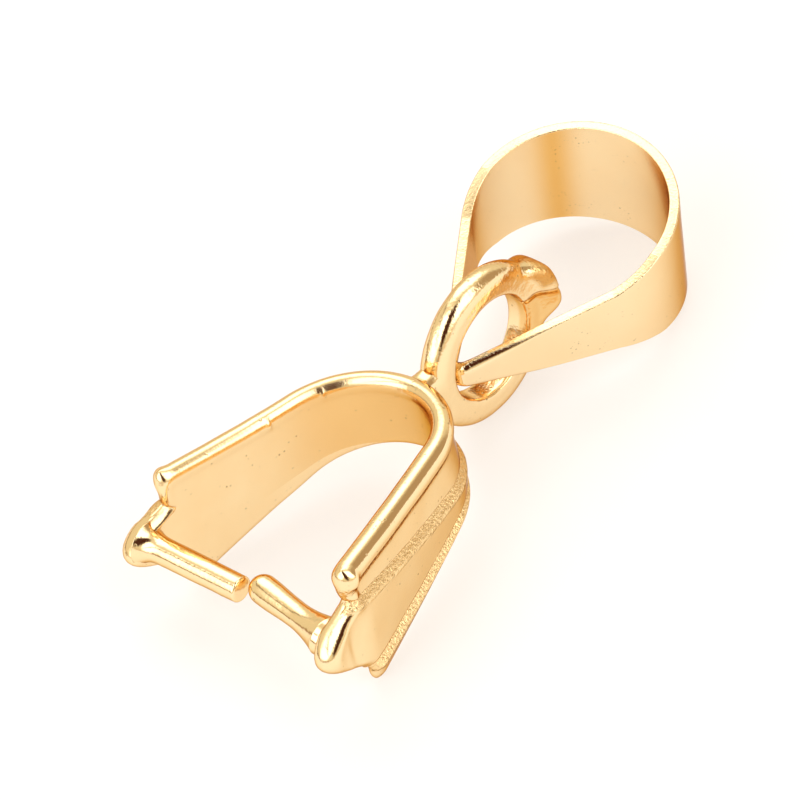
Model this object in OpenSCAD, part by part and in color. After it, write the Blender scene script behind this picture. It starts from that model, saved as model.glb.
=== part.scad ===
// Pinch bail: a cast clip with two fluted arms, two inward pins and an eyelet ring,
// and a folded strip bail that hangs in the ring. It lies on its side.
// X runs along the pins, Y from the pins to the bail and Z up from the surface.

/* [Body] */
// Height of the pins over the surface on which the body lies
pin_z = 2.84; // [2.4:0.02:3.4]
// Height of the left arm's end over the pins
left_up = 2.54; // [2.3:0.02:3.3]
// Height of the right arm's end over the pins
right_up = 2.9; // [2.3:0.02:3.3]
// Height of the crown over the pins
crown_up = 1.68; // [1.2:0.02:1.9]
// Depth of the crown under the pins
crown_down = 1.36; // [1.1:0.02:1.9]
// Sag of the left arm's upper rim between its ends
left_sag = 0.44; // [0:0.02:0.5]
// Distance from the pins to the crown, at the middle of the wall
crown_y = 8.6; // [7.4:0.02:10.4]
// Offset of the crown from the ring's plane, to the right
crown_x = 0.2; // [0:0.02:0.3]
// Radius of the left half of the arch, at the middle of the wall
left_r = 3.26; // [2.8:0.02:3.6]
// Radius of the right half of the arch, at the middle of the wall
right_r = 2.68; // [2.3:0.02:3.1]
// Angle by which the left arm opens
left_slope = 15; // [8:0.5:18]
// Angle by which the right arm opens
right_slope = 13; // [8:0.5:18]
// Inward bow of the left arm at the pins
left_bow = 0.38; // [0:0.02:0.5]
// Inward bow of the right arm at the pins
right_bow = 0.2; // [0:0.02:0.5]
// Depth of the inner face, from the middle of the wall
wall_in = 0.36; // [0.26:0.02:0.42]
// Height of the flutes' bottoms over the middle of the wall
wall_out = 0.2; // [0.1:0.02:0.3]
// Height of the rims' edges over the middle of the wall
rim_out = 0.02; // [0:0.02:0.1]

/* [Ribs] */
// Rise of a rib over the flutes beside it
rib_rise = 0.22; // [0.1:0.02:0.5]
// Distance by which the left arm's outer ribs stop short of the pins
left_short = 0.84; // [0:0.02:1]
// Distance by which the right arm's outer ribs stop short of the pins
right_short = 0.32; // [0:0.02:0.8]
// Distance by which the lower outer ribs are shorter than the upper ones
lower_short = 0.34; // [0:0.02:0.5]
// Distance by which the left arm's middle rib runs on past the pins
left_past = 0.84; // [0.7:0.02:1.5]
// Distance by which the right arm's middle rib runs on past the pins
right_past = 1.16; // [0.7:0.02:1.5]
// Depth of the notches between the ends of the outer ribs and the middle rib
notch = 0.1; // [0.06:0.02:0.5]
// Length over which the outer ribs' corners round into the rims
corner_r = 0.4; // [0.2:0.02:0.8]
// Extra thickness of the ribs' tips, on each face
tip_swell = 0.12; // [0:0.02:0.24]
// Outward set of the left middle tip
left_set = 0.32; // [0:0.02:0.6]
// Inward set of the right middle tip
right_set = 0.32; // [0:0.02:0.6]

/* [Pins] */
// Diameter of each pin
pin_d = 0.92; // [0.7:0.02:1.1]
// Gap between the two pin tips
pin_gap = 0.12; // [0.1:0.02:0.6]
// Offset of the gap from the middle plane, towards the left arm
gap_left = 0.26; // [0:0.02:0.5]
// Angle between the right pin and the left one, its root away from the crown
right_tilt = 10; // [0:0.5:12]
// Diameter of the flared root of the right pin
root_d = 1.26; // [1.16:0.02:1.5]
// Length of the flare
flare_l = 0.94; // [0.4:0.02:1]
// Distance by which the right tip stands nearer the crown than the left pin
right_tip_y = 0.36; // [0:0.02:0.4]

/* [Ring] */
// Outer diameter of the eyelet ring
ring_d = 5.68; // [5.4:0.02:6]
// Diameter of the ring's wire
wire_d = 1.12; // [1:0.02:1.2]
// Thickness over the two flattened sides of the wire
wire_t = 0.9; // [0.7:0.02:1]
// Diameter of the hole, where its wall is worn flat
hole_d = 3.58; // [3.46:0.02:3.8]
// Distance from the crown's middle wall to the centre of the ring
ring_reach = 3.42; // [3.3:0.02:3.5]
// Height of the saddle that joins the ring to the crown
saddle_h = 2.2; // [1.6:0.02:2.6]
// Diameter of the casting stub left on the far side of the ring
stub_d = 1.66; // [1.3:0.02:1.8]
// Distance by which the stub stands out of the ring
stub_out = 0.32; // [0.1:0.02:0.5]

/* [Bail] */
// Outer diameter of the bail's loop
loop_d = 7.14; // [6.4:0.02:7.4]
// Outer radius of the fold at the neck
fold_r = 0.64; // [0.56:0.02:0.8]
// Distance from the centre of the fold to the centre of the loop
loop_reach = 5.9; // [5.6:0.02:6.2]
// Thickness of the strip
strip_t = 0.34; // [0.26:0.02:0.4]
// Width of the strip at the far side of the loop
strip_w = 4.52; // [4:0.02:4.8]
// Width of the strip at the middle of the loop
loop_w = 3.58; // [3.2:0.02:4]
// Width of the strip where the legs leave the loop
leg_w = 2.52; // [2.2:0.02:2.8]
// Width of the strip at the fold
neck_w = 1; // [0.8:0.02:1.3]
// Play between the fold and the wall of the hole
neck_play = 0.06; // [0.04:0.02:0.16]
// Depth of the fold under the middle of the hole
neck_down = 0.06; // [0:0.02:0.3]
// Slope of the bail along its length, down to the far side
bail_pitch = 2.5; // [2:0.5:6]
// Roll of the bail about its length, down to the right
bail_roll = 6; // [3:0.5:7]
// Swing of the bail in the ring, to the right
bail_yaw = -1; // [-8:0.5:8]

/* [Hidden] */
gold = [0.93, 0.70, 0.42];
pale_gold = [0.96, 0.78, 0.52];

// s is a distance along the wall from the crown, negative on the left arm. Each half of the
// arch is an arc of turn degrees, and the arm runs on from it.
function sided(s, left, right) = s < 0 ? left : right;
function arm_r(s) = sided(s, left_r, right_r);
function turn(s) = 90 - sided(s, left_slope, right_slope);
function arch_s(s) = arm_r(s) * turn(s) * PI / 180;
function turned(s) = turn(s) * min(1, abs(s) / arch_s(s));
function past(s) = max(0, abs(s) - arch_s(s));
// Distance along the wall to the height y on the arm of that side
function along(side, y) = arch_s(side)
    + (crown_y - arm_r(side) * (1 - cos(turn(side))) - y) / sin(turn(side));
function bow(s) = sided(s, left_bow, right_bow) * pow(past(s) / (along(s, 0) - arch_s(s)), 2);
// The middle of the wall and the direction that points out of it
function mid_x(s) = crown_x
    + sign(s) * (arm_r(s) * sin(turned(s)) + past(s) * cos(turn(s)) - bow(s));
function mid_y(s) = crown_y - arm_r(s) * (1 - cos(turned(s))) - past(s) * sin(turn(s));
function out_x(s) = sign(s) * sin(turned(s));
function out_y(s) = cos(turned(s));

// Distances along the wall to the ends of the outer ribs, of the flutes and of the middle rib
function side_s(s) = along(s, sided(s, left_short, right_short));
function flute_s(s) = side_s(s) - notch;
function mid_s(s) = along(s, -sided(s, left_past, right_past));
// Shares of the half height at which the upper and the lower flute lie, at the crown and at the ends
left_upper = [-0.3, 0.42];
right_upper = [-0.3, 0.56];
lower_flute = [-0.7, -0.6];
// Share of a rib's full rise that it has at the crown
crown_rise = 0.6;
// Slimness of the middle rib's tip
tip_slim = 1.8;
// Length over which the two faces round into each other at the ends
end_r = 0.42;
// Share of the half height from which the inner face rounds into the rims
rim_from = 0.78;

function done(s) = min(1, abs(s) / side_s(s));
function crown_end(crown, end, s) = crown + (end - crown) * done(s);
function half_h(s, up) = up
    ? crown_end(crown_up, sided(s, left_up, right_up), s) - sided(s, left_sag, 0) * sin(180 * done(s))
    : crown_end(crown_down, pin_z, s);
function flute(ends, s) = crown_end(ends[0], ends[1], s);
function smooth(t) = let(c = max(0, min(1, t))) c * c * (3 - 2 * c);
function arc(q) = sqrt(max(0, 1 - q * q));

// The lines along the wall, [rib, q]: rib -1, 0 or 1 and q from -1 to 1 across that rib
rib_steps = 8;
lines = [for (rib = [-1, 0, 1]) for (i = [rib < 0 ? 0 : 1 : rib_steps])
    [rib, -cos(180 * i / rib_steps)]];
// Share of the half height at which a line lies, where upper and lower are the flutes' shares
function share(rib, q, upper, lower) = let(
    above = rib > 0 ? 1 : rib == 0 ? upper : lower,
    below = rib < 0 ? -1 : rib == 0 ? lower : upper)
    (above + below) / 2 + q * (above - below) / 2;
// Distance along the wall to the end of a line
function line_s(side, rib, q) = rib == 0
    ? flute_s(side) + (mid_s(side) - flute_s(side)) * pow(1 - q * q, tip_slim)
    : rib * q < 0
        ? flute_s(side) + (notch - lower_by(rib)) * arc(q)
        : side_s(side) - lower_by(rib) - corner_r * (1 - arc(q));
function lower_by(rib) = rib < 0 ? lower_short : 0;

// The stations along each line, [u, e]: u from -1 to 1 along its plain length, and e from 0
// to 1 round its end
plain_steps = 44;
end_steps = 4;
stations = [
    for (i = [end_steps : -1 : 1]) [-1, i / end_steps],
    for (i = [0 : plain_steps]) [2 * i / plain_steps - 1, 0],
    for (i = [1 : end_steps]) [1, i / end_steps]];

// Swelling of a rib's tip from 0 to 1, and the middle rib's sideways set
function swell(rib, s) = rib == 0
    ? smooth((abs(s) - flute_s(s) + 0.6) / (mid_s(s) - flute_s(s)))
    : smooth((abs(s) - flute_s(s) + 0.4) / 0.5);
function set(rib, s) = rib == 0 ? sided(s, left_set, -right_set) : 0;

// A point of the wall on its outer face (face 1) or its inner face (face 0)
function wall_point(u, e, rib, q, face) = let(
    s = u * (line_s(u, rib, q) - end_r + end_r * sin(90 * e)),
    v = share(rib, q, flute(sided(s, left_upper, right_upper), s), flute(lower_flute, s)),
    rise = rib_rise * (crown_rise + (1 - crown_rise) * min(1, abs(s) / arch_s(s))),
    grow = swell(rib, s) * arc(q),
    rim = arc(max(0, abs(v) - rim_from) / (1 - rim_from)),
    foot = rib * q > 0 ? rim_out : wall_out,
    top = foot + (wall_out + rise - foot) * arc(q) + tip_swell * grow,
    low = rim_out - (rim_out + wall_in + tip_swell * grow) * rim,
    level = (top + low) / 2,
    off = level + (face * top + (1 - face) * low - level) * cos(90 * e) + set(rib, s) * grow)
    [mid_x(s) + off * out_x(s), mid_y(s) + off * out_y(s), v * half_h(s, v > 0)];

// The two faces are meshed as one closed skin and share the points of their common edge.
module fluted_wall() {
    rows = len(stations);
    cols = len(lines);
    function inside(i, j) = i > 0 && i < rows - 1 && j > 0 && j < cols - 1;
    function at(face, i, j) = face == 1 || !inside(i, j)
        ? i * cols + j
        : rows * cols + (i - 1) * (cols - 2) + j - 1;
    outer_points = [for (st = stations) for (a = lines) wall_point(st[0], st[1], a[0], a[1], 1)];
    inner_points = [for (i = [1 : rows - 2]) for (j = [1 : cols - 2])
        wall_point(stations[i][0], stations[i][1], lines[j][0], lines[j][1], 0)];
    outer_faces = [for (i = [0 : rows - 2]) for (j = [0 : cols - 2]) each [
        [at(1, i, j), at(1, i + 1, j), at(1, i + 1, j + 1)],
        [at(1, i, j), at(1, i + 1, j + 1), at(1, i, j + 1)]]];
    inner_faces = [for (i = [0 : rows - 2]) for (j = [0 : cols - 2]) each [
        [at(0, i, j), at(0, i, j + 1), at(0, i + 1, j)],
        [at(0, i + 1, j), at(0, i, j + 1), at(0, i + 1, j + 1)]]];
    polyhedron(points = concat(outer_points, inner_points),
        faces = concat(outer_faces, inner_faces), convexity = 6);
}

// The roots of the pins lie in the middle of the wall.
function root_x(side) = let(s = side * along(side, 0))
    mid_x(s) + side * set(0, s) * swell(0, s);
left_tip_x = -gap_left - pin_gap / 2;
right_tip_x = -gap_left + pin_gap / 2;
// Chamfer of the left tip
tip_cut = 0.1;

module left_pin() {
    length = left_tip_x - root_x(-1);
    translate([left_tip_x - tip_cut, 0, 0]) rotate([0, -90, 0])
        cylinder(d = pin_d, h = length - tip_cut, $fn = 48);
    translate([left_tip_x, 0, 0]) rotate([0, -90, 0])
        cylinder(d1 = pin_d - 2 * tip_cut, d2 = pin_d, h = tip_cut, $fn = 48);
}

module right_pin() {
    length = (root_x(1) - right_tip_x) / cos(right_tilt) - pin_d / 2;
    // Seen from its rounded tip
    translate([right_tip_x + pin_d / 2, right_tip_y, 0]) rotate([0, 0, -right_tilt]) rotate([0, 90, 0]) {
        sphere(d = pin_d, $fn = 48);
        cylinder(d = pin_d, h = length, $fn = 48);
        translate([0, 0, length - flare_l])
            cylinder(d1 = pin_d, d2 = root_d, h = flare_l, $fn = 48);
    }
}

ring_y = crown_y + ring_reach;
ring_r = (ring_d - wire_d) / 2;

module ring() {
    // The ring's section: a round wire with flattened sides and a flat wall in the hole
    translate([0, ring_y, 0]) rotate([0, 90, 0]) rotate_extrude($fn = 96)
        intersection() {
            translate([ring_r, 0]) circle(d = wire_d, $fn = 48);
            translate([hole_d / 2, -wire_t / 2]) square([ring_d, wire_t]);
        }
    saddle();
    translate([0, ring_y + ring_r, 0]) rotate([-90, 0, 0])
        cylinder(d = stub_d, h = wire_d / 2 + stub_out, $fn = 48);
}

// The saddle runs from the wall of the crown into the ring.
module saddle() {
    depth = ring_y - ring_r - crown_y;
    translate([0, crown_y, 0]) rotate([-90, 0, 0]) linear_extrude(depth) {
        square([wire_t, saddle_h - wire_t], center = true);
        for (end = [-1, 1]) translate([0, end * (saddle_h - wire_t) / 2]) circle(d = wire_t, $fn = 48);
    }
}

module pinch_body() {
    color(gold) {
        fluted_wall();
        left_pin();
        right_pin();
        ring();
    }
}

// The fold lies against the wall of the hole, where its lower corner comes to the round wall.
corner_z = neck_down + neck_w / 2;
fold_y = ring_y - sqrt(pow(hole_d / 2, 2) - pow(corner_z, 2)) + neck_play + fold_r;
loop_r = loop_d / 2;
// The legs are the outer tangents of the fold and the loop.
leg_slope = asin((loop_r - fold_r) / loop_reach);

// The bail seen along its axis, inset all round by cut, with the fold's centre at the origin
module bail_plan(cut) {
    fold = fold_r - cut;
    loop = loop_r - cut;
    circle(r = fold, $fn = 96);
    translate([0, loop_reach]) circle(r = loop, $fn = 144);
    polygon([
        [fold * cos(leg_slope), -fold * sin(leg_slope)],
        [loop * cos(leg_slope), loop_reach - loop * sin(leg_slope)],
        [-loop * cos(leg_slope), loop_reach - loop * sin(leg_slope)],
        [-fold * cos(leg_slope), -fold * sin(leg_slope)]]);
}

// The bail seen from the side: the strip narrows from the far side to the fold.
module bail_side() {
    leave_y = loop_reach - loop_r * sin(leg_slope);
    upper = [[-fold_r - 1, neck_w / 2], [-fold_r, neck_w / 2], [leave_y, leg_w / 2],
        [loop_reach, loop_w / 2], [loop_reach + loop_r, strip_w / 2],
        [loop_reach + loop_r + 1, strip_w / 2]];
    lower = [for (i = [len(upper) - 1 : -1 : 0]) [upper[i][0], -upper[i][1]]];
    polygon(concat(upper, lower));
}

module bail_loop() {
    color(pale_gold) translate([0, fold_y, -neck_down]) rotate([-bail_pitch, bail_roll, -bail_yaw])
        intersection() {
            linear_extrude(2 * strip_w, center = true) difference() {
                bail_plan(0);
                bail_plan(strip_t);
            }
            rotate([90, 0, 90]) linear_extrude(3 * loop_d, center = true) bail_side();
        }
}

// The object stands on the plane z = 0, with the origin under the middle of its length.
near_y = -right_past;
far_y = fold_y + loop_reach + loop_r;
module placed() {
    translate([0, -(near_y + far_y) / 2, pin_z]) children();
}

placed() pinch_body();
placed() bail_loop();
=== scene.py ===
import bmesh
import bpy
import numpy as np
from mathutils import Matrix, Vector


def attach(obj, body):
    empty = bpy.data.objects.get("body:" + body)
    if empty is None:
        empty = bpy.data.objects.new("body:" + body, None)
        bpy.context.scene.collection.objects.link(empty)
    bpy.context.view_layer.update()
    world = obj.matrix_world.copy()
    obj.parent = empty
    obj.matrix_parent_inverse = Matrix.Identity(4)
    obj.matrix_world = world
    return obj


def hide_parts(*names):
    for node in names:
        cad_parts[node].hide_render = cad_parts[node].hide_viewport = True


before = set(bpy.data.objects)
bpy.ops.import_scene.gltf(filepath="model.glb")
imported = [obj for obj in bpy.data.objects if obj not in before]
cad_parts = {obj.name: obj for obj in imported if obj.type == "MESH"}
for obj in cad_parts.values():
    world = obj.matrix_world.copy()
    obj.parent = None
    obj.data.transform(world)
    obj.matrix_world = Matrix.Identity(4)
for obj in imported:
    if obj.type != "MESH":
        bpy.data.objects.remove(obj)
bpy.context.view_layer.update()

# The wall of the clip: an arch and two arms with three ribs and two flutes on the outer face,
# a smooth inner face and a rounded rim. It is lost-wax cast brass with bright gold plating,
# and everything else on the body is cast in one piece with it.

MM = 0.001
# The middle of the line of the pins, in mm, from which the casting is measured
PINS = np.array([0.0, -9.665, 2.84])


def grid_faces(rows, cols, round_rows=False, round_cols=False):
    """Quads of a grid of points, row after row. A round direction joins its last line to its first."""
    i, j = np.meshgrid(
        np.arange(rows if round_rows else rows - 1),
        np.arange(cols if round_cols else cols - 1),
        indexing="ij",
    )
    k, l = (i + 1) % rows, (j + 1) % cols
    corners = [i * cols + j, k * cols + j, k * cols + l, i * cols + l]
    return np.stack(corners, -1).reshape(-1, 4)


def outward(points, faces):
    """The faces turned round where the volume under them, a sum of corner products, is negative."""
    a, b, c, d = (points[faces[:, n]] for n in range(4))
    volume = (np.cross(a, b) * c).sum() + (np.cross(a, c) * d).sum()
    return faces if volume > 0 else faces[:, ::-1]


def skin(name, points, faces, finish, slot, body, satin=0, deep=0, coarse=0):
    """A closed skin of metal from points in mm, round the middle of the pins, welded at its seams and poles.
    Each point carries how satin its plating is, how deep its tone, which is mostly painted reflection and
    painted shade, and how coarse its grain, 0 to 1."""
    mesh = bpy.data.meshes.new(name)
    at = (points + PINS) * MM
    mesh.from_pydata(at.tolist(), [], outward(points, faces).tolist())
    for mark, value in (("satin", satin), ("deep", deep), ("coarse", coarse)):
        held = mesh.attributes.new(mark, "FLOAT", "POINT")
        held.data.foreach_set("value", np.broadcast_to(value, len(points)).astype(np.float32))
    shell = bmesh.new()
    shell.from_mesh(mesh)
    bmesh.ops.remove_doubles(shell, verts=shell.verts, dist=2e-7)
    shell.to_mesh(mesh)
    shell.free()
    mesh.polygons.foreach_set("use_smooth", np.ones(len(mesh.polygons), bool))
    mesh.materials.append(finish)
    piece = bpy.data.objects.new(name, mesh)
    bpy.context.scene.collection.objects.link(piece)
    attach(piece, body)
    return piece


def smooth(t):
    """A rise from 0 to 1 that starts and ends level."""
    t = np.clip(t, 0, 1)
    return t * t * (3 - 2 * t)


def arc(t):
    """The height of a half circle of radius 1 over t."""
    return np.sqrt(np.clip(1 - t * t, 0, 1))


def softer(a, b, k):
    """The larger of a and b, rounded over where they cross within about k."""
    return (a + b + np.sqrt((a - b) ** 2 + k * k)) / 2


def bell(t):
    """A hump of height 1 round t = 0: one over e to the power of t squared."""
    return np.exp(-(t**2))


def circle(count):
    """Even angles once round."""
    return np.arange(count) / count * 2 * np.pi


def wax_waves(points, length, seed, count=14):
    """Slow unevenness of a wax pattern: the mean of sine waves in random directions, each of about the
    length in mm."""
    draw = np.random.default_rng(seed)
    way = draw.normal(size=(count, 3))
    way *= (draw.uniform(0.7, 1.5, count) * 2 * np.pi / length / np.linalg.norm(way, axis=1))[:, None]
    return np.sin(points @ way.T + draw.uniform(0, 6.28, count)).mean(-1)


def group_socket(group, name, kind, into, value=None):
    """A named socket of a node group with its starting value."""
    socket = group.interface.new_socket(name=name, in_out=into, socket_type=kind)
    if value is not None:
        socket.default_value = value
    return socket


def feed(tree, socket, value):
    """Joins an output to the socket, or sets the socket to a plain number or colour."""
    if isinstance(value, bpy.types.NodeSocket):
        tree.links.new(value, socket)
    else:
        socket.default_value = value


def math(tree, kind, *values):
    """The result of a Math node on numbers and outputs."""
    node = tree.nodes.new("ShaderNodeMath")
    node.operation = kind
    for socket, value in zip(node.inputs, values):
        feed(tree, socket, value)
    return node.outputs["Value"]


def ranged(tree, value, given, wanted=(0.0, 1.0), ease="LINEAR"):
    """The value carried from the given range to the wanted one, and held inside it."""
    node = tree.nodes.new("ShaderNodeMapRange")
    node.interpolation_type = ease
    feed(tree, node.inputs["Value"], value)
    for name, end in zip(("From Min", "From Max", "To Min", "To Max"), (*given, *wanted)):
        feed(tree, node.inputs[name], end)
    return node.outputs["Result"]


def mixed(tree, factor, a, b):
    """The colour that lies between a and b by the factor."""
    node = tree.nodes.new("ShaderNodeMix")
    node.data_type = "RGBA"
    for name, value in (("Factor", factor), ("A", a), ("B", b)):
        feed(tree, node.inputs[name], value)
    return node.outputs["Result"]


def noise(tree, where, scale, detail):
    """Cloudy noise at a place on the piece."""
    node = tree.nodes.new("ShaderNodeTexNoise")
    for name, value in (("Vector", where), ("Scale", scale), ("Detail", detail)):
        feed(tree, node.inputs[name], value)
    return node.outputs["Fac"]


def marked(tree, name):
    """The strength of a mark that the mesh's points carry."""
    node = tree.nodes.new("ShaderNodeAttribute")
    node.attribute_name = name
    return node.outputs["Fac"]


# Bright plating over a cast skin: cloudy tone, small dark pits and a fine grain
plating = bpy.data.node_groups.new("gold_plating", "ShaderNodeTree")
group_socket(plating, "Light tone", "NodeSocketColor", "INPUT", (1.0, 0.80, 0.53, 1))
group_socket(plating, "Deep tone", "NodeSocketColor", "INPUT", (1.0, 0.70, 0.38, 1))
group_socket(plating, "Cloud size", "NodeSocketFloat", "INPUT", 700.0)
group_socket(plating, "Pit size", "NodeSocketFloat", "INPUT", 5200.0)
group_socket(plating, "Pit depth", "NodeSocketFloat", "INPUT", 0.6)
group_socket(plating, "Grain size", "NodeSocketFloat", "INPUT", 14000.0)
group_socket(plating, "Tone", "NodeSocketColor", "OUTPUT")
group_socket(plating, "Roughness", "NodeSocketFloat", "OUTPUT")
group_socket(plating, "Height", "NodeSocketFloat", "OUTPUT")
# Tones of the deep mark (painted reflection and painted shade, and the sawn patch's own tone), of the bottom
# of a pit, and of the painted shade at the rims, where metal is seen at a low angle
deep_gold_and_painted_reflection, pit_brown, painted_rim_shade_brown = (0.86, 0.49, 0.13, 1), (0.16, 0.06, 0.02, 1), (0.42, 0.20, 0.07, 1)


def make_plating(tree):
    """Tone is a cloudy mix of two golds, richer where the mesh is marked deep, a mark that mostly paints
    reflection and shade, and dark in pits, which are the middles of the cells in some places. Roughness goes
    with the clouds, and the satin mark adds to it.
    Height is grain, made heavier by the coarse mark, less the pits."""
    given = tree.nodes.new("NodeGroupInput")
    out = tree.nodes.new("NodeGroupOutput")
    where = tree.nodes.new("ShaderNodeTexCoord").outputs["Object"]
    clouds = noise(tree, where, given.outputs["Cloud size"], 5)
    cells = tree.nodes.new("ShaderNodeTexVoronoi")
    feed(tree, cells.inputs["Vector"], where)
    feed(tree, cells.inputs["Scale"], given.outputs["Pit size"])
    holes = ranged(tree, cells.outputs["Distance"], (0.12, 0.24), (1.0, 0.0))
    places = ranged(tree, noise(tree, where, 1500, 2), (0.56, 0.72))
    pits = math(tree, "MULTIPLY", math(tree, "MULTIPLY", holes, places), given.outputs["Pit depth"])
    clean = mixed(tree, clouds, given.outputs["Light tone"], given.outputs["Deep tone"])
    # A deeper gold where the mesh is marked deep: painted reflection and painted shade, and the sawn stub's
    # own tone
    rich = mixed(tree, marked(tree, "deep"), clean, deep_gold_and_painted_reflection)
    feed(tree, out.inputs["Tone"], mixed(tree, pits, rich, pit_brown))
    bright_rough = ranged(tree, clouds, (0.3, 0.7), (0.06, 0.15))
    feed(tree, out.inputs["Roughness"], math(tree, "ADD", bright_rough, marked(tree, "satin")))
    heavy = math(tree, "MULTIPLY_ADD", marked(tree, "coarse"), 3.5, 0.25)
    grain = math(tree, "MULTIPLY", noise(tree, where, given.outputs["Grain size"], 3), heavy)
    feed(tree, out.inputs["Height"], math(tree, "SUBTRACT", grain, pits))


make_plating(plating)


def gold(name, light, deep, cloud, pits, pit_depth, grain, relief):
    """A plated finish: the group's tone, roughness and height on a metal shader, with its own values. The
    tone goes brown where the surface is seen at a low angle: painted shade along the rims of the metal's
    reflections."""
    made = bpy.data.materials.new(name)
    made.use_nodes = True
    tree = made.node_tree
    metal = tree.nodes["Principled BSDF"]
    metal.inputs["Metallic"].default_value = 1.0
    metal.inputs["Specular Tint"].default_value = (0.62, 0.36, 0.16, 1)
    coat = tree.nodes.new("ShaderNodeGroup")
    coat.node_tree = plating
    coat.inputs["Light tone"].default_value = light
    coat.inputs["Deep tone"].default_value = deep
    coat.inputs["Cloud size"].default_value = cloud
    coat.inputs["Pit size"].default_value = pits
    coat.inputs["Pit depth"].default_value = pit_depth
    coat.inputs["Grain size"].default_value = grain
    bump = tree.nodes.new("ShaderNodeBump")
    bump.inputs["Strength"].default_value = relief
    bump.inputs["Distance"].default_value = 0.00003
    # Painted shade: the base colour turns brown where the surface is seen at a low angle
    turned_away = tree.nodes.new("ShaderNodeLayerWeight")
    turned_away.inputs["Blend"].default_value = 0.5
    edge = ranged(tree, turned_away.outputs["Facing"], (0.83, 0.98), (0.0, 0.9), "SMOOTHSTEP")
    tone = mixed(tree, edge, coat.outputs["Tone"], painted_rim_shade_brown)
    feed(tree, metal.inputs["Base Color"], tone)
    feed(tree, metal.inputs["Roughness"], coat.outputs["Roughness"])
    feed(tree, bump.inputs["Height"], coat.outputs["Height"])
    feed(tree, metal.inputs["Normal"], bump.outputs["Normal"])
    return made


cast_gold = gold(
    "cast_gold_plating", light=(1.0, 0.82, 0.50, 1), deep=(1.0, 0.74, 0.41, 1), cloud=600, pits=5200,
    pit_depth=0.6, grain=9000, relief=0.6,
)

# Shape of the two halves of the wall, left and right, in mm and degrees
arm_r, arm_turn, arm_bow = (3.26, 2.68), (75, 77), (0.38, 0.20)
arm_up, arm_sag, arm_short, arm_past = (2.54, 2.895), (0.44, 0.0), (0.84, 0.32), (0.84, 1.148)
tip_set, upper_end, arm_neck = (0.32, -0.32), (0.42, 0.56), (0.26, 0.12)
crown_x, crown_y, crown_up, crown_down, pin_z = 0.2, 8.6, 1.68, 1.36, 2.84
# The bead along each rim: its radius and the place of its middle in the wall, its radius at the
# crown, and where its round side goes over into a straight flank
bead_r, bead_mid, crown_bead, flank_from = (0.33, 0.41), -0.02, 0.33, 0.707
# The section: where the outer flutes, the inner face and the lower edge lie from the middle line,
# how far the ribs rise, how long the ends are rounded, and where the flutes start at the crown
face_out, face_in, lower_edge, rib_rise, end_round = 0.15, -0.31, -0.05, 0.27, 0.42
flute_up_start, flute_down_start = -0.3, -0.7
# How far along the left arm two burrs stand on the inside of its rim
near_burr, far_burr = 3.25, 5.4


class Arm:
    """The curve of the wall on one side: an arc from the crown, then a straight arm that bows inwards."""

    def __init__(self, side):
        pick = 0 if side < 0 else 1
        self.side, self.r = side, arm_r[pick]
        self.turn, self.bow_in = np.radians(arm_turn[pick]), arm_bow[pick]
        self.up, self.sag = arm_up[pick], arm_sag[pick]
        self.arch = self.r * self.turn
        self.rib_end = self.along(arm_short[pick])
        self.flute_end = self.rib_end - 0.1
        self.tip_end = self.along(-arm_past[pick])
        self.pin_at = self.along(0)
        self.set_out, self.upper_end = tip_set[pick], upper_end[pick]
        self.bead, self.neck = bead_r[pick], arm_neck[pick]

    def along(self, y):
        """Distance along the wall to the height y on the arm."""
        return self.arch + (crown_y - self.r * (1 - np.cos(self.turn)) - y) / np.sin(self.turn)

    def middle(self, d):
        """Point of the wall's middle line at the distance d, and the direction out of the wall."""
        turned = self.turn * np.minimum(1, d / self.arch)
        past = np.maximum(0, d - self.arch)
        bow = self.bow_in * (past / (self.pin_at - self.arch)) ** 2
        x = crown_x + self.side * (self.r * np.sin(turned) + past * np.cos(self.turn) - bow)
        y = crown_y - self.r * (1 - np.cos(turned)) - past * np.sin(self.turn)
        return x, y, self.side * np.sin(turned), np.cos(turned)

    def line_end(self, rib, q):
        """Where a line ends: the middle rib in a rounded point, the others with round corners and a notch."""
        lower = np.where(rib < 0, 0.34, 0)
        middle = self.flute_end + (self.tip_end - self.flute_end) * np.clip(1 - q * q, 0, 1) ** 1.8
        by_notch = self.flute_end + (0.1 - lower) * arc(q)
        by_rim = self.rib_end - lower - 0.4 * (1 - arc(q))
        return np.where(rib == 0, middle, np.where(rib * q < 0, by_notch, by_rim))


def shingle(q, half_width):
    """Height of a rib over the flutes, 0 to 1, at the share q of its half width in mm: a slow rise from the
    lower flute to a crest, then a steep shoulder down to the upper one."""
    shoulder = np.minimum(0.37, 0.9 * half_width) / half_width
    t = np.clip((1 - q) / shoulder, 0, 1)
    ramp = 0.5 * smooth((q + 1) * half_width / 0.12) + 0.5 * np.clip((q + 1) / (2 - shoulder), 0, 1)
    return (0.6 * t + 0.4 * smooth(t)) * ramp


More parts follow.
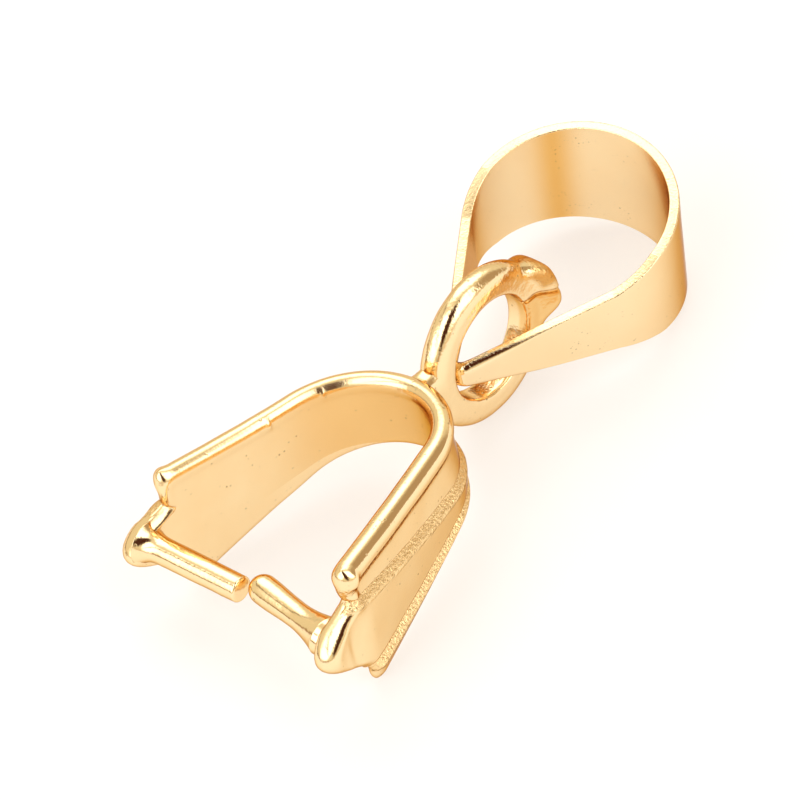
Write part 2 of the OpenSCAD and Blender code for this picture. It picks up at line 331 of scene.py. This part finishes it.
def wall_side(arm, u, e, rib, q, outer):
    """One half of the wall's outer or inner face. u runs from the crown to the ends, e round the ends and q
    across each rib. The section is flat inside, has shingled ribs outside and a round bead along each rim.
    The fourth column is how coarse the skin is: on the ribs' steep sides, by the rim and on the left lobe."""
    d = u * (arm.line_end(rib, q) - end_round + end_round * np.sin(np.pi / 2 * e))
    done = np.minimum(1, d / arm.rib_end)
    # Where the flutes lie and how high the wall stands, v being a share of the half height
    flute_up = flute_up_start + (arm.upper_end - flute_up_start) * done
    flute_down = flute_down_start + 0.1 * done
    above = np.where(rib > 0, 1, np.where(rib == 0, flute_up, flute_down))
    below = np.where(rib < 0, -1, np.where(rib == 0, flute_down, flute_up))
    v = (above + below) / 2 + q * (above - below) / 2
    up = crown_up + (arm.up - crown_up) * done - arm.sag * np.sin(np.pi * done)
    down = crown_down + (pin_z - crown_down) * done
    half_h = np.where(v > 0, up, down)
    half_width = (above - below) / 2 * half_h
    # The faces, which swell at the ends: the middle rib's into a lobe with a bulb at its tip
    rise = rib_rise * (0.6 + 0.4 * np.minimum(1, d / arm.arch))
    grow = arc(q) * np.where(
        rib == 0,
        smooth((d - arm.flute_end + 0.6) / (arm.tip_end - arm.flute_end)),
        smooth((d - arm.flute_end + 0.4) / 0.5),
    )
    bulb = smooth((d - arm.tip_end + 1.15) / 0.3) * arc(q) ** 0.6 * (rib == 0)
    face = face_out + np.where(rib > 0, 0.05, rise * shingle(q, half_width)) + 0.03 * grow + 0.07 * bulb
    face = np.where(rib < 0, face - 0.12 * smooth(-v * 2.2 - 1.2), face)
    neck = smooth((d - arm.flute_end + 0.5) / 0.35) * bell((v - flute_up) / 0.13)
    face = face + arm.neck * neck
    inner_side = face_in - 0.1 * grow - 0.05 * bulb
    # The bead along the upper rim: round, then a flank of 45 degrees that runs softly into the faces
    knob = 0.06 * smooth((d - arm.rib_end + 0.75) / 0.4) * (rib > 0)
    r = crown_bead + (arm.bead - crown_bead) * smooth(2 * done) + knob
    in_rim = (1 - np.abs(v)) * half_h
    t = (in_rim - r) / r
    round_it = r * np.where(t < flank_from, arc(np.clip(t, -1, flank_from)), 2 * flank_from - t)
    past_rim = 0.12 * smooth(t / 0.6)
    mid = bead_mid - 0.04 * (arm.side > 0) * done + knob
    bead_up, bead_low = mid + round_it, mid - round_it
    top = np.where(in_rim < r, bead_up, softer(bead_up, face, past_rim))
    low = np.where(in_rim < r, bead_low, -softer(-bead_low, -inner_side, 0.5 * past_rim))
    # The lower rim, where the two faces close in a half round
    lip = arc(np.clip((r - in_rim) / r, 0, 1))
    lower_top = lower_edge + (face - lower_edge) * lip
    lower_low = lower_edge + (inner_side - lower_edge) * lip
    top = np.where(rib > 0, top, np.where(rib == 0, face, lower_top))
    low = np.where(rib > 0, low, np.where(rib == 0, inner_side, lower_low))
    if arm.side < 0:
        burr = bell((d - far_burr) / 0.08) + 0.8 * bell((d - near_burr) / 0.07)
        between = smooth((d - near_burr) / 0.1) * smooth((far_burr - d) / 0.1)
        by_rim = bell((in_rim - 0.3) / 0.2) * (v > 0)
        low = low - (0.06 * burr - 0.025 * between) * by_rim
    level = (top + low) / 2
    off = level + ((top if outer else low) - level) * np.cos(np.pi / 2 * e) + arm.set_out * grow * (rib == 0)
    x, y, out_x, out_y = arm.middle(d)
    z = v * half_h
    steep = (rib < 1) * smooth((q - 1) * half_width / 0.1 + 4.2) * smooth((1 - q) * half_width / 0.05)
    flank = (rib > 0) * smooth((t - 0.25) / 0.3) * smooth((1.3 - t) / 0.4)
    lobe = 0.5 * (rib == 0) * smooth((d - arm.tip_end + 1.1) / 0.3) * smooth((0.3 - q) / 0.3)
    coarse = np.maximum(np.maximum(steep, 0.5 * flank), lobe if arm.side < 0 else 0) * outer
    return np.stack(np.broadcast_arrays(x + off * out_x, y + off * out_y, z, coarse), -1)


def wall_face(outer):
    """The left half, turned round, and the right half side by side, as one grid of rows from end to end."""
    per_rib, plain, ending = 40, 150, 12
    steps = np.arange(per_rib + 1)
    rib = np.r_[np.full(per_rib + 1, -1), np.full(per_rib, 0), np.full(per_rib, 1)][None, :]
    q = -np.cos(np.pi * np.r_[steps, steps[1:], steps[1:]] / per_rib)[None, :]
    u = np.r_[np.linspace(0, 1, plain + 1), np.ones(ending)][:, None]
    e = np.r_[np.zeros(plain + 1), np.arange(1, ending + 1) / ending][:, None]
    left = wall_side(Arm(-1), u, e, rib, q, outer)
    right = wall_side(Arm(1), u, e, rib, q, outer)
    return np.concatenate([left[:0:-1], right])


outer_face, inner_face = wall_face(True), wall_face(False)
rows, cols = outer_face.shape[:2]
one = grid_faces(rows, cols)
wall_points = np.concatenate([outer_face.reshape(-1, 4), inner_face.reshape(-1, 4)])
wall_points, coarse = wall_points[:, :3], wall_points[:, 3]
inwards = 0.012 * (wax_waves(wall_points, 1.5, 61) - 1) * np.sign(wall_points[:, 0])
wall_points = wall_points + inwards[:, None] * (1, 0, 0)
upwards = 0.015 * (wax_waves(wall_points, 1.8, 62) - 0.6)
wall_points = wall_points + upwards[:, None] * (0, 0, 1)
inside = np.arange(len(wall_points)) >= rows * cols
# Painted reflection: the deep mark gives a deeper gold to the coarse steep sides of the ribs and to the inner
# face, most under the crown
painted_reflection_under_crown = smooth((wall_points[:, 1] - 3.6) / 4.2) * (np.abs(wall_points[:, 2]) < 1.4)
wall = skin(
    "fluted_wall",
    wall_points,
    np.concatenate([one, one[:, ::-1] + rows * cols]),
    cast_gold, "cast_gold", "body",
    satin=0.08 * inside + 0.04 * coarse,
    deep=0.3 * coarse + inside * (0.05 + 0.6 * painted_reflection_under_crown),
    coarse=coarse,
)

# The two pins that hold the bead: short cast pegs on the middle ribs, which point inwards. The
# left one was snipped flat and filed; the right one has a swollen tip and a root that flares.


def peg(start, way, profile, seed, rough=0.01, turns=96):
    """A peg turned about its axis from its profile, the distances from the tip and the radii there, with the
    slow waves of wax over it, three times as strong towards the root."""
    t, r = profile
    way = np.array(way, float) / np.linalg.norm(way)
    one_side = np.cross(way, (0, 0, 1.0))
    one_side /= np.linalg.norm(one_side)
    other = np.cross(way, one_side)
    a = circle(turns)
    ring = np.cos(a)[:, None] * one_side + np.sin(a)[:, None] * other
    points = np.array(start) + t[:, None, None] * way + r[:, None, None] * ring
    flat = points.reshape(-1, 3)
    waves = wax_waves(flat, 1.3, seed) + 0.3 * wax_waves(flat, 0.45, seed + 1)
    depth = rough * np.minimum(1, r / 0.2) * (1 + 2 * smooth((t - 2.2) / 1.2))
    points = points + (depth[:, None] * waves.reshape(points.shape[:2]))[..., None] * ring
    return points.reshape(-1, 3), grid_faces(len(t), turns, round_cols=True)


def outline(*stops):
    """A peg's outline through the stops (distance from the tip, radius), with close points at the corners."""
    at = np.array(stops, float)
    run = np.r_[0, np.cumsum(np.linalg.norm(np.diff(at, axis=0), axis=1))]
    fine = np.unique(np.r_[np.linspace(0, run[-1], 120), run])
    return np.interp(fine, run, at[:, 0]), np.interp(fine, run, at[:, 1])


bend = np.linspace(0, np.pi / 2, 7)
flare = np.linspace(0, 1, 16)
left_tip = [(0, 0), (0, 0.35)] + [(0.08 - 0.08 * np.cos(b), 0.35 + 0.1 * np.sin(b)) for b in bend[1:]]
left_root = [(3.1 + 0.9 * k, 0.46 + 0.3 * k**3) for k in flare]
left_peg = outline(*left_tip, (1.6, 0.455), *left_root, (4.1, 0))
left_pin = skin("left_pin", *peg((-0.32, 0, 0), (-1, 0, 0), left_peg, 3), cast_gold, "cast_gold", "body")

tilt = np.radians(10)
dome = np.linspace(0, np.pi / 2, 16)
right_tip = [(0.5 - 0.5 * np.cos(b), 0.5 * np.sin(b)) for b in dome]
right_waist = [(0.5 + 1.7 * k, 0.47 + 0.03 * np.cos(np.pi * k)) for k in flare[1:]]
right_root = [(2.2 + 1.3 * k, 0.44 + 0.24 * k**1.7) for k in flare]
right_peg = outline(*right_tip, *right_waist, *right_root, (3.9, 0.6), (3.95, 0))
tip_at = np.array((0.3 - 0.5 * np.cos(tilt), 0.36 + 0.5 * np.sin(tilt), 0))
right_way = (np.cos(tilt), -np.sin(tilt), 0)
right_pin = skin("right_pin", *peg(tip_at, right_way, right_peg, 5), cast_gold, "cast_gold", "body")

# The eyelet ring on the crown, cast with the body: a thick wire ring that stands in the plane
# between the arms, and swells at its far side to the stub where the sprue was sawn off.

ring_y, ring_r, wire, hole_r, ring_half = 12.02, 2.28, 0.56, 1.79, 0.49
# The stub: how far it stands out of the wire, widens it and leans to the right
stub_out, stub_wide, stub_lean = 0.38, 0.36, 0.14


def squared(c, s, power):
    """How far an oval of half size 1, squared by the power, reaches in the direction (c, s)."""
    return (np.abs(c) ** power + np.abs(s) ** power) ** (-1 / power)


def eyelet(rows=360, turns=96):
    """A section carried round the ring's circle, square inside and rounder outside: a runs round the ring
    from the far side, b round the wire. At the far side it grows to the stub, which has a crease on its upper
    right, and slow waves lift the skin. It also gives three marks: the sawn patch, a painted reflection in a
    deeper tone past the crease, and the crease, where the deep mark is painted shade."""
    a, b = np.meshgrid(circle(rows), circle(turns), indexing="ij")
    c, s = np.cos(b), np.sin(b)
    turned = np.angle(np.exp(1j * a))
    stub = smooth((0.6 - np.abs(turned - 0.1)) / 0.38)
    square = squared(c, s, np.where(s > 0, 2.2 + 1.6 * stub, 6))
    out = square * s * np.where(s > 0, wire + stub_out * stub, ring_r - hole_r)
    crease_at = 0.227 - 0.17 * (out + ring_r - hole_r)
    crease = bell((turned - crease_at) / 0.03) * smooth(c / 0.3)
    x = square * c * (ring_half + stub_wide * stub * smooth(s / 0.8)) - 0.06 * crease
    x = x + stub_lean * stub * smooth((s - 0.1) / 0.8)
    r = ring_r + out
    flat = np.stack([x, r * np.cos(a), r * np.sin(a)], -1).reshape(-1, 3)
    lift = 0.012 * wax_waves(flat, 1.2, 31) + 0.006 * wax_waves(flat, 0.4, 32) - 0.006
    way = np.stack([c, s * np.cos(a), s * np.sin(a)], -1).reshape(-1, 3)
    patch = smooth((turned - 0.12) / 0.12) * smooth((0.6 - turned) / 0.12)
    sawn = patch * smooth((s - 0.2) / 0.2) * smooth((c + 0.3) / 0.3)
    painted_reflection_past_crease = 0.6 * smooth((crease_at - turned) / 0.05) * smooth((turned + 0.7) / 0.2) * smooth(c / 0.3)
    marks = [mark.reshape(-1) for mark in (sawn, painted_reflection_past_crease, crease)]
    return flat + lift[:, None] * way + (0, ring_y, 0), grid_faces(rows, turns, True, True), marks


ring_points, ring_faces, (sawn, painted_reflection_past_crease, crease) = eyelet()
ring = skin(
    "eyelet_ring", ring_points, ring_faces, cast_gold, "cast_gold", "body",
    # The deep mark: painted reflection past the crease and painted shade in the crease; on the sawn patch,
    # the stub's own duller tone
    satin=0.3 * sawn, deep=0.7 * sawn + painted_reflection_past_crease + 0.4 * crease, coarse=0.08 + 0.6 * sawn,
)

# The saddle between the ring and the crown: a short block of the same casting, level on top,
# that spreads where it runs into the ribs.


def saddle(rows=60, turns=96):
    """Square-shouldered sections in planes across Y, from inside the crown to inside the ring's wire, wide at
    the crown and closed by a point at each end."""
    y = np.linspace(8.5, ring_y - ring_r + 0.15, rows)
    spread = np.exp(-np.clip((y - 8.8) / 0.5, 0, None) * 2.4)
    half_x = ring_half - 0.01 + 0.34 * spread
    half_z = 1.14 + 0.2 * spread
    b = circle(turns)
    c, s = np.cos(b), np.sin(b)
    square = squared(c, s, 3.2)
    across, up = half_x[:, None] * square * c, half_z[:, None] * square * s
    points = np.stack(np.broadcast_arrays(across, y[:, None], up), -1)
    near, far = points[0] * (0, 1, 0), points[-1] * (0, 1, 0)
    points = np.concatenate([near[None], points, far[None]])
    flat = points.reshape(-1, 3)
    flat = flat * (1 + 0.012 * wax_waves(flat, 0.8, 41)[:, None] * (1, 0, 1))
    return flat, grid_faces(rows + 2, turns, round_cols=True)


ring_saddle = skin("ring_saddle", *saddle(), cast_gold, "cast_gold", "body")
for piece in (wall, left_pin, right_pin, ring, ring_saddle):
    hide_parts("pinch_body")

# The bail: one strip of brass sheet, narrow at its middle and wide at its ends, folded through
# the ring into a drop-shaped loop and plated. Its edges show the marks of the shears.

strip_gold = gold(
    "strip_gold_plating", light=(1.0, 0.82, 0.52, 1), deep=(1.0, 0.75, 0.43, 1), cloud=420, pits=6500,
    pit_depth=0.5, grain=16000, relief=0.25,
)

# The loop in mm and degrees: radii of its fold and of its round end, the way between their
# middles, the sheet's thickness, where the fold's middle hangs and how the loop is turned there
fold_r, loop_r, reach, thick = 0.64, 3.57, 5.9, 0.34
fold_at, loop_turn = (0, 11.0199, -0.06), (-2.5, 6, 1)
# The strip's widths at four heights from the fold's middle up, and where round the loop, in degrees,
# a band of painted reflection in a deeper gold crosses its inner face
width_at, widths = (-fold_r, 4.13, reach, reach + loop_r), (1.0, 2.52, 3.58, 4.52)
painted_reflection_band_at, painted_reflection_band_wide = -47, 12


def teardrop(count):
    """Points and outward directions of the loop's outer line, at even steps: from the far side round the
    loop's circle, down the tangent leg, round the fold and back up the other leg."""
    slope = np.arcsin((loop_r - fold_r) / reach)
    leg = reach * np.cos(slope)
    long = loop_r * (np.pi / 2 + slope)
    short = fold_r * (np.pi / 2 - slope)
    half = long + leg + short
    l = np.arange(count) / count * 2 * half
    side = np.where(l < half, 1.0, -1.0)
    l = np.where(l < half, l, 2 * half - l)
    a = np.pi / 2 - np.minimum(l, long) / loop_r
    a = np.where(l > long + leg, -slope - (l - long - leg) / fold_r, a)
    centre = np.where(l > long + leg, 0, reach)
    r = np.where(l > long + leg, fold_r, loop_r)
    down = np.clip(l - long, 0, leg) * (l <= long + leg)
    y = centre + r * np.sin(a) - down * np.cos(slope)
    x = r * np.cos(a) - down * np.sin(slope)
    return np.stack([side * x, y], -1), np.stack([side * np.cos(a), np.sin(a)], -1)


def strip(count=900):
    """A sheared section carried round the teardrop, wider with the distance from the fold. Its faces are
    flat, its corners round, most of all at the fold, and its edges rough in the strip's width. It also gives
    three marks: the inner face, a band of painted reflection in a deeper gold across that face, and the
    sheared edges."""
    line, out = teardrop(count)
    y = line[:, 1]
    width = np.interp(y, width_at, widths)[:, None]
    near_fold = 1 - smooth((y + fold_r) / 3.2)[:, None]
    outer_r = 0.05 + 0.27 * near_fold
    inner_r = 0.04 + 0.05 * near_fold
    half_outer, half_inner = width / 2 - outer_r, width / 2 - inner_r
    flat_steps = np.linspace(-1, 1, 21)
    bend = np.linspace(0, np.pi / 2, 8)
    outer_z, outer_depth = half_outer + outer_r * np.sin(bend[1:]), outer_r * (1 - np.cos(bend[1:]))
    inner_z, inner_depth = half_inner + inner_r * np.cos(bend), thick - inner_r * (1 - np.sin(bend))
    section = [
        (half_outer * flat_steps, 0.0),
        (outer_z, outer_depth),
        (inner_z, inner_depth),
        (half_inner * flat_steps[-2:0:-1], thick),
        (-inner_z[:, ::-1], inner_depth[:, ::-1]),
        (-outer_z[:, ::-1], outer_depth[:, ::-1]),
    ]
    pairs = [np.broadcast_arrays(*pair) for pair in section]
    z, depth = (np.concatenate(parts, 1) for parts in zip(*pairs))
    edge = smooth((np.abs(z) - width / 2 + 0.06) / 0.05)
    along = np.arange(count)[:, None] + 0 * z
    scratches = np.stack([along, 12 * depth / thick, z], -1).reshape(-1, 3)
    grit = wax_waves(scratches, 3.5, 21).reshape(z.shape)
    z = z - 0.004 * edge * np.sign(z) * (1 + grit)
    plan = line[:, None, :] - depth[..., None] * out[:, None, :]
    points = np.concatenate([plan, z[..., None]], -1)
    lift = 0.008 * wax_waves(points.reshape(-1, 3), 2.5, 51).reshape(z.shape)
    points = points - np.abs(lift)[..., None] * np.concatenate([out, 0 * out[:, :1]], 1)[:, None, :]
    pitch, roll, yaw = np.radians(loop_turn)
    turn = Matrix.Rotation(yaw, 3, "Z") @ Matrix.Rotation(roll, 3, "Y") @ Matrix.Rotation(pitch, 3, "X")
    points = points @ np.array(turn).T + fold_at
    round_loop = np.degrees(np.arctan2(line[:, 0], line[:, 1] - reach))[:, None]
    inside = (depth > thick - 0.03) * (np.abs(z) < width / 2 - 0.04)
    painted_reflection_band = inside * bell((round_loop - painted_reflection_band_at) / painted_reflection_band_wide)
    marks = [mark.reshape(-1) for mark in (inside, painted_reflection_band, edge)]
    return points.reshape(-1, 3), grid_faces(count, z.shape[1], True, True), marks


loop_points, loop_faces, (loop_inside, loop_painted_reflection, sheared) = strip()
loop = skin(
    "bail_strip", loop_points, loop_faces, strip_gold, "strip_gold", "bail",
    # The deep mark on the inner face is painted reflection: a band of deeper gold
    satin=0.1 * loop_inside, deep=0.9 * loop_painted_reflection, coarse=0.6 * sheared,
)
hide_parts("bail_loop")

# The set: a white sheet that glows a little, the camera above, on the side between the pins and the
# right arm, and a cloth tent round them. The gold mirrors its bright panels, tan hems and dark gaps.

table = bpy.data.meshes.new("white_sheet")
table.from_pydata([(-3, -3, 0), (3, -3, 0), (3, 3, 0), (-3, 3, 0)], [], [(0, 1, 2, 3)])
sheet = bpy.data.objects.new("white_sheet", table)
bpy.context.scene.collection.objects.link(sheet)
paper = bpy.data.materials.new("white_paper")
paper.use_nodes = True
plain = paper.node_tree.nodes["Principled BSDF"]
plain.inputs["Base Color"].default_value = (0.42, 0.435, 0.44, 1)
plain.inputs["Roughness"].default_value = 0.9
plain.inputs["Specular IOR Level"].default_value = 0.0
plain.inputs["Emission Color"].default_value = (1.0, 0.93, 0.90, 1)
plain.inputs["Emission Strength"].default_value = 0.60
table.materials.append(paper)

# The directions to the right, down and ahead in the photograph
right, down, ahead = (
    np.array((0.76654266, 0.61321371, -0.19073883)),
    np.array((0.36555128, -0.66084156, -0.65548508)),
    np.array((-0.52800058, 0.43273245, -0.73072431)),
)
lens = bpy.data.cameras.new("camera")
lens.lens, lens.sensor_width = 450, 36
lens.clip_start, lens.clip_end = 0.01, 20
camera = bpy.data.objects.new("camera", lens)
stand = Matrix([list(right), list(-down), list(-ahead)]).transposed().to_4x4()
stand.translation = Vector((0.16788210, -0.13916746, 0.23635290))
camera.matrix_world = stand
bpy.context.scene.collection.objects.link(camera)
bpy.context.scene.camera = camera

# A panel or an opening in the tent: 1 inside a rounded oblong round a direction, 0 outside
panel = bpy.data.node_groups.new("tent_panel", "ShaderNodeTree")
group_socket(panel, "Middle", "NodeSocketVector", "INPUT")
group_socket(panel, "Sideways", "NodeSocketVector", "INPUT")
group_socket(panel, "Upwards", "NodeSocketVector", "INPUT")
group_socket(panel, "Half width", "NodeSocketFloat", "INPUT", 0.3)
group_socket(panel, "Half height", "NodeSocketFloat", "INPUT", 0.3)
group_socket(panel, "Softness", "NodeSocketFloat", "INPUT", 0.1)
group_socket(panel, "Mask", "NodeSocketFloat", "OUTPUT")


def make_panel(tree):
    """The direction's angles sideways and upwards from the middle, each over its half size; the larger one,
    rounded by a cubic sum, falls from inside to outside over the softness."""
    given = tree.nodes.new("NodeGroupInput")
    out = tree.nodes.new("NodeGroupOutput")
    look = tree.nodes.new("ShaderNodeTexCoord")

    def along(name):
        """How far the direction of the look goes along a given one."""
        node = tree.nodes.new("ShaderNodeVectorMath")
        node.operation = "DOT_PRODUCT"
        feed(tree, node.inputs[0], look.outputs["Generated"])
        feed(tree, node.inputs[1], given.outputs[name])
        return node.outputs["Value"]

    def share_cubed(angle, half_size):
        """The cube of an angle's share of a given half size."""
        share = math(tree, "DIVIDE", angle, given.outputs[half_size])
        return math(tree, "POWER", math(tree, "ABSOLUTE", share), 3.0)

    sideways = share_cubed(math(tree, "ARCTAN2", along("Sideways"), along("Middle")), "Half width")
    upwards = share_cubed(math(tree, "ARCSINE", along("Upwards")), "Half height")
    reach = math(tree, "POWER", math(tree, "ADD", sideways, upwards), 1 / 3)
    softness = given.outputs["Softness"]
    edge = math(tree, "SUBTRACT", 1.0, softness), math(tree, "ADD", 1.0, softness)
    feed(tree, out.inputs["Mask"], ranged(tree, reach, edge, (1.0, 0.0), "SMOOTHSTEP"))


make_panel(panel)

tent = bpy.data.worlds.new("white_tent")
bpy.context.scene.world = tent
tent.use_nodes = True
air = tent.node_tree
# Each part of the tent: azimuth from the bail's side towards the right arm, elevation, half width
# and half height in degrees, softness, and its light in red, green and blue
tent_parts = [
    (51, 0, 115, 7, 0.5, (0.80, 0.62, 0.44)),  # tan hem round the bail and the right arm
    (-129, 0, 75, 7, 0.4, (0.36, 0.20, 0.10)),  # brown hem round the left arm and the pins
    (-172, 42, 30, 34, 0.25, (2.3, 2.3, 2.25)),  # bright panel by the pins
    (78, 44, 24, 32, 0.25, (2.3, 2.3, 2.25)),  # bright panel by the right arm
    (-45, 50, 27, 18, 0.35, (2.2, 2.2, 2.15)),  # bright panel on the left of the bail
    (34, 22, 22, 26, 0.4, (0.47, 0.34, 0.21)),  # tan gap on the right of the bail
    (-129, 47, 50, 2.2, 0.6, (0.20, 0.09, 0.03)),  # dark seam on the left of the pins
    (129, 48, 15, 40, 0.25, (0.07, 0.02, 0.01)),  # opening round the lens
]
bright = (0.86, 0.77, 0.58, 1)
for azimuth, elevation, half_wide, half_tall, softness, light in tent_parts:
    az, el = np.radians(azimuth), np.radians(elevation)
    part = air.nodes.new("ShaderNodeGroup")
    part.node_tree = panel
    part.inputs["Middle"].default_value = (np.sin(az) * np.cos(el), np.cos(az) * np.cos(el), np.sin(el))
    part.inputs["Sideways"].default_value = (np.cos(az), -np.sin(az), 0)
    part.inputs["Upwards"].default_value = (-np.sin(az) * np.sin(el), -np.cos(az) * np.sin(el), np.cos(el))
    part.inputs["Half width"].default_value = np.radians(half_wide)
    part.inputs["Half height"].default_value = np.radians(half_tall)
    part.inputs["Softness"].default_value = softness
    bright = mixed(air, part.outputs["Mask"], bright, (*light, 1))
feed(air, air.nodes["Background"].inputs["Color"], bright)

bpy.context.scene.view_settings.view_transform = "Standard"
